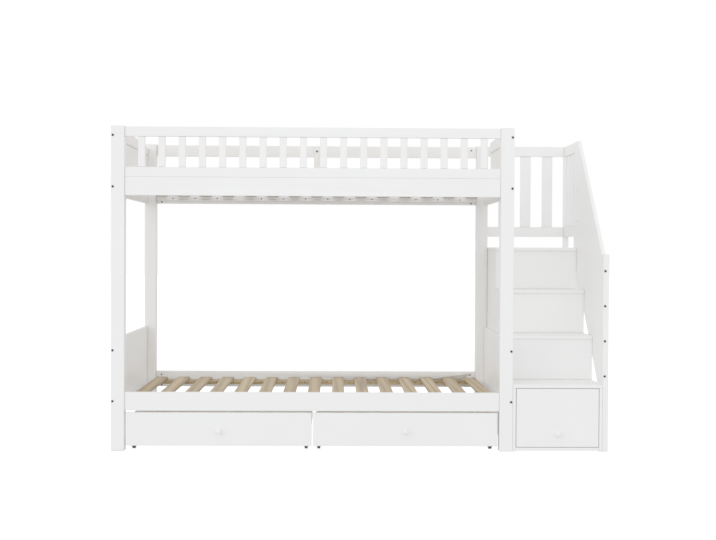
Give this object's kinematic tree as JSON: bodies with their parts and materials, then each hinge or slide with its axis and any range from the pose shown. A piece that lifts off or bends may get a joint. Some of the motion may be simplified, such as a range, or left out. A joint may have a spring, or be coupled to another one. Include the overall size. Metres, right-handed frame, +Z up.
{
  "type": "bunk bed",
  "caption": "Twin over twin bunk bed with a storage staircase at one end, slatted bases, guard rails, rolling drawers under the lower bunk and a drawer in the first step.",
  "frame": {"origin": "on the floor, below the centre of the whole bed's box", "axes": "+X along the bed towards the stairs, +Y from the front to the back, +Z up"},
  "size_m": [2.503, 1.1086, 1.63],
  "materials": {
    "white_paint": "satin white paint on solid wood and board",
    "pine": "planed pine, unpainted",
    "black_bolt": "black oxide",
    "zinc_steel": "zinc plated",
    "castor_steel": "black painted sheet steel",
    "castor_wheel": "black plastic"
  },
  "bodies": {
    "bed_frame": {"barrel_nuts": "zinc_steel", "connector_bolts": "black_bolt", "front_left_post": "white_paint", "front_right_post": "white_paint", "guard_balusters": "white_paint", "guard_bottom_rail": "white_paint", "guard_top_rail": "white_paint", "landing_bottom_rails": "white_paint", "landing_rear_slats": "white_paint", "landing_side_slats": "white_paint", "landing_top_rails": "white_paint", "lower_front_rail": "white_paint", "lower_ledgers": "pine", "lower_left_end_panel": "white_paint", "lower_rear_rail": "white_paint", "lower_right_end_panel": "white_paint", "lower_slats": "pine", "rear_guard_board": "white_paint", "rear_guard_upright": "white_paint", "rear_left_post": "white_paint", "rear_right_post": "white_paint", "stair_back_panel": "white_paint", "stair_base_board": "white_paint", "stair_front_post": "white_paint", "stair_guard_panel": "white_paint", "stair_landing": "white_paint", "stair_left_side": "white_paint", "stair_middle_post": "white_paint", "stair_rear_post": "white_paint", "stair_right_side": "white_paint", "stair_risers": "white_paint", "stair_treads": "white_paint", "upper_front_rail": "white_paint", "upper_ledgers": "white_paint", "upper_left_end_cap": "white_paint", "upper_left_end_panel": "white_paint", "upper_rear_rail": "white_paint", "upper_right_end_cap": "white_paint", "upper_right_end_panel": "white_paint", "upper_slats": "pine", "wood_screws": "zinc_steel"},
    "left_drawer": {"left_drawer_box": "white_paint", "left_drawer_castors": "castor_steel", "left_drawer_front": "white_paint", "left_drawer_knob": "white_paint"},
    "right_drawer": {"right_drawer_box": "white_paint", "right_drawer_castors": "castor_steel", "right_drawer_front": "white_paint", "right_drawer_knob": "white_paint"},
    "stair_drawer": {"stair_drawer_box": "white_paint", "stair_drawer_front": "white_paint", "stair_drawer_knob": "white_paint"},
    "left_drawer_front_left_wheel": {"left_drawer_front_left_wheel": "castor_wheel"},
    "left_drawer_front_right_wheel": {"left_drawer_front_right_wheel": "castor_wheel"},
    "left_drawer_rear_left_wheel": {"left_drawer_rear_left_wheel": "castor_wheel"},
    "left_drawer_rear_right_wheel": {"left_drawer_rear_right_wheel": "castor_wheel"},
    "right_drawer_front_left_wheel": {"right_drawer_front_left_wheel": "castor_wheel"},
    "right_drawer_front_right_wheel": {"right_drawer_front_right_wheel": "castor_wheel"},
    "right_drawer_rear_left_wheel": {"right_drawer_rear_left_wheel": "castor_wheel"},
    "right_drawer_rear_right_wheel": {"right_drawer_rear_right_wheel": "castor_wheel"}
  },
  "joints": [
    {"name": "left_drawer_slide", "type": "slide", "parent": "bed_frame", "child": "left_drawer", "axis": [0, -1, 0], "range_m": [0, 0.75]},
    {"name": "right_drawer_slide", "type": "slide", "parent": "bed_frame", "child": "right_drawer", "axis": [0, -1, 0], "range_m": [0, 0.75]},
    {"name": "stair_drawer_slide", "type": "slide", "parent": "bed_frame", "child": "stair_drawer", "axis": [0, -1, 0], "range_m": [0, 0.42]},
    {"name": "left_drawer_front_left_wheel_roll", "type": "hinge", "parent": "left_drawer", "child": "left_drawer_front_left_wheel", "pos_m": [-1.1475, -0.44225, 0.02], "axis": [1, 0, 0], "continuous": true},
    {"name": "left_drawer_front_right_wheel_roll", "type": "hinge", "parent": "left_drawer", "child": "left_drawer_front_right_wheel", "pos_m": [-0.2735, -0.44225, 0.02], "axis": [1, 0, 0], "continuous": true},
    {"name": "left_drawer_rear_left_wheel_roll", "type": "hinge", "parent": "left_drawer", "child": "left_drawer_rear_left_wheel", "pos_m": [-1.1475, 0.31775, 0.02], "axis": [1, 0, 0], "continuous": true},
    {"name": "left_drawer_rear_right_wheel_roll", "type": "hinge", "parent": "left_drawer", "child": "left_drawer_rear_right_wheel", "pos_m": [-0.2735, 0.31775, 0.02], "axis": [1, 0, 0], "continuous": true},
    {"name": "right_drawer_front_left_wheel_roll", "type": "hinge", "parent": "right_drawer", "child": "right_drawer_front_left_wheel", "pos_m": [-0.2095, -0.44225, 0.02], "axis": [1, 0, 0], "continuous": true},
    {"name": "right_drawer_front_right_wheel_roll", "type": "hinge", "parent": "right_drawer", "child": "right_drawer_front_right_wheel", "pos_m": [0.6645, -0.44225, 0.02], "axis": [1, 0, 0], "continuous": true},
    {"name": "right_drawer_rear_left_wheel_roll", "type": "hinge", "parent": "right_drawer", "child": "right_drawer_rear_left_wheel", "pos_m": [-0.2095, 0.31775, 0.02], "axis": [1, 0, 0], "continuous": true},
    {"name": "right_drawer_rear_right_wheel_roll", "type": "hinge", "parent": "right_drawer", "child": "right_drawer_rear_right_wheel", "pos_m": [0.6645, 0.31775, 0.02], "axis": [1, 0, 0], "continuous": true}
  ]
}
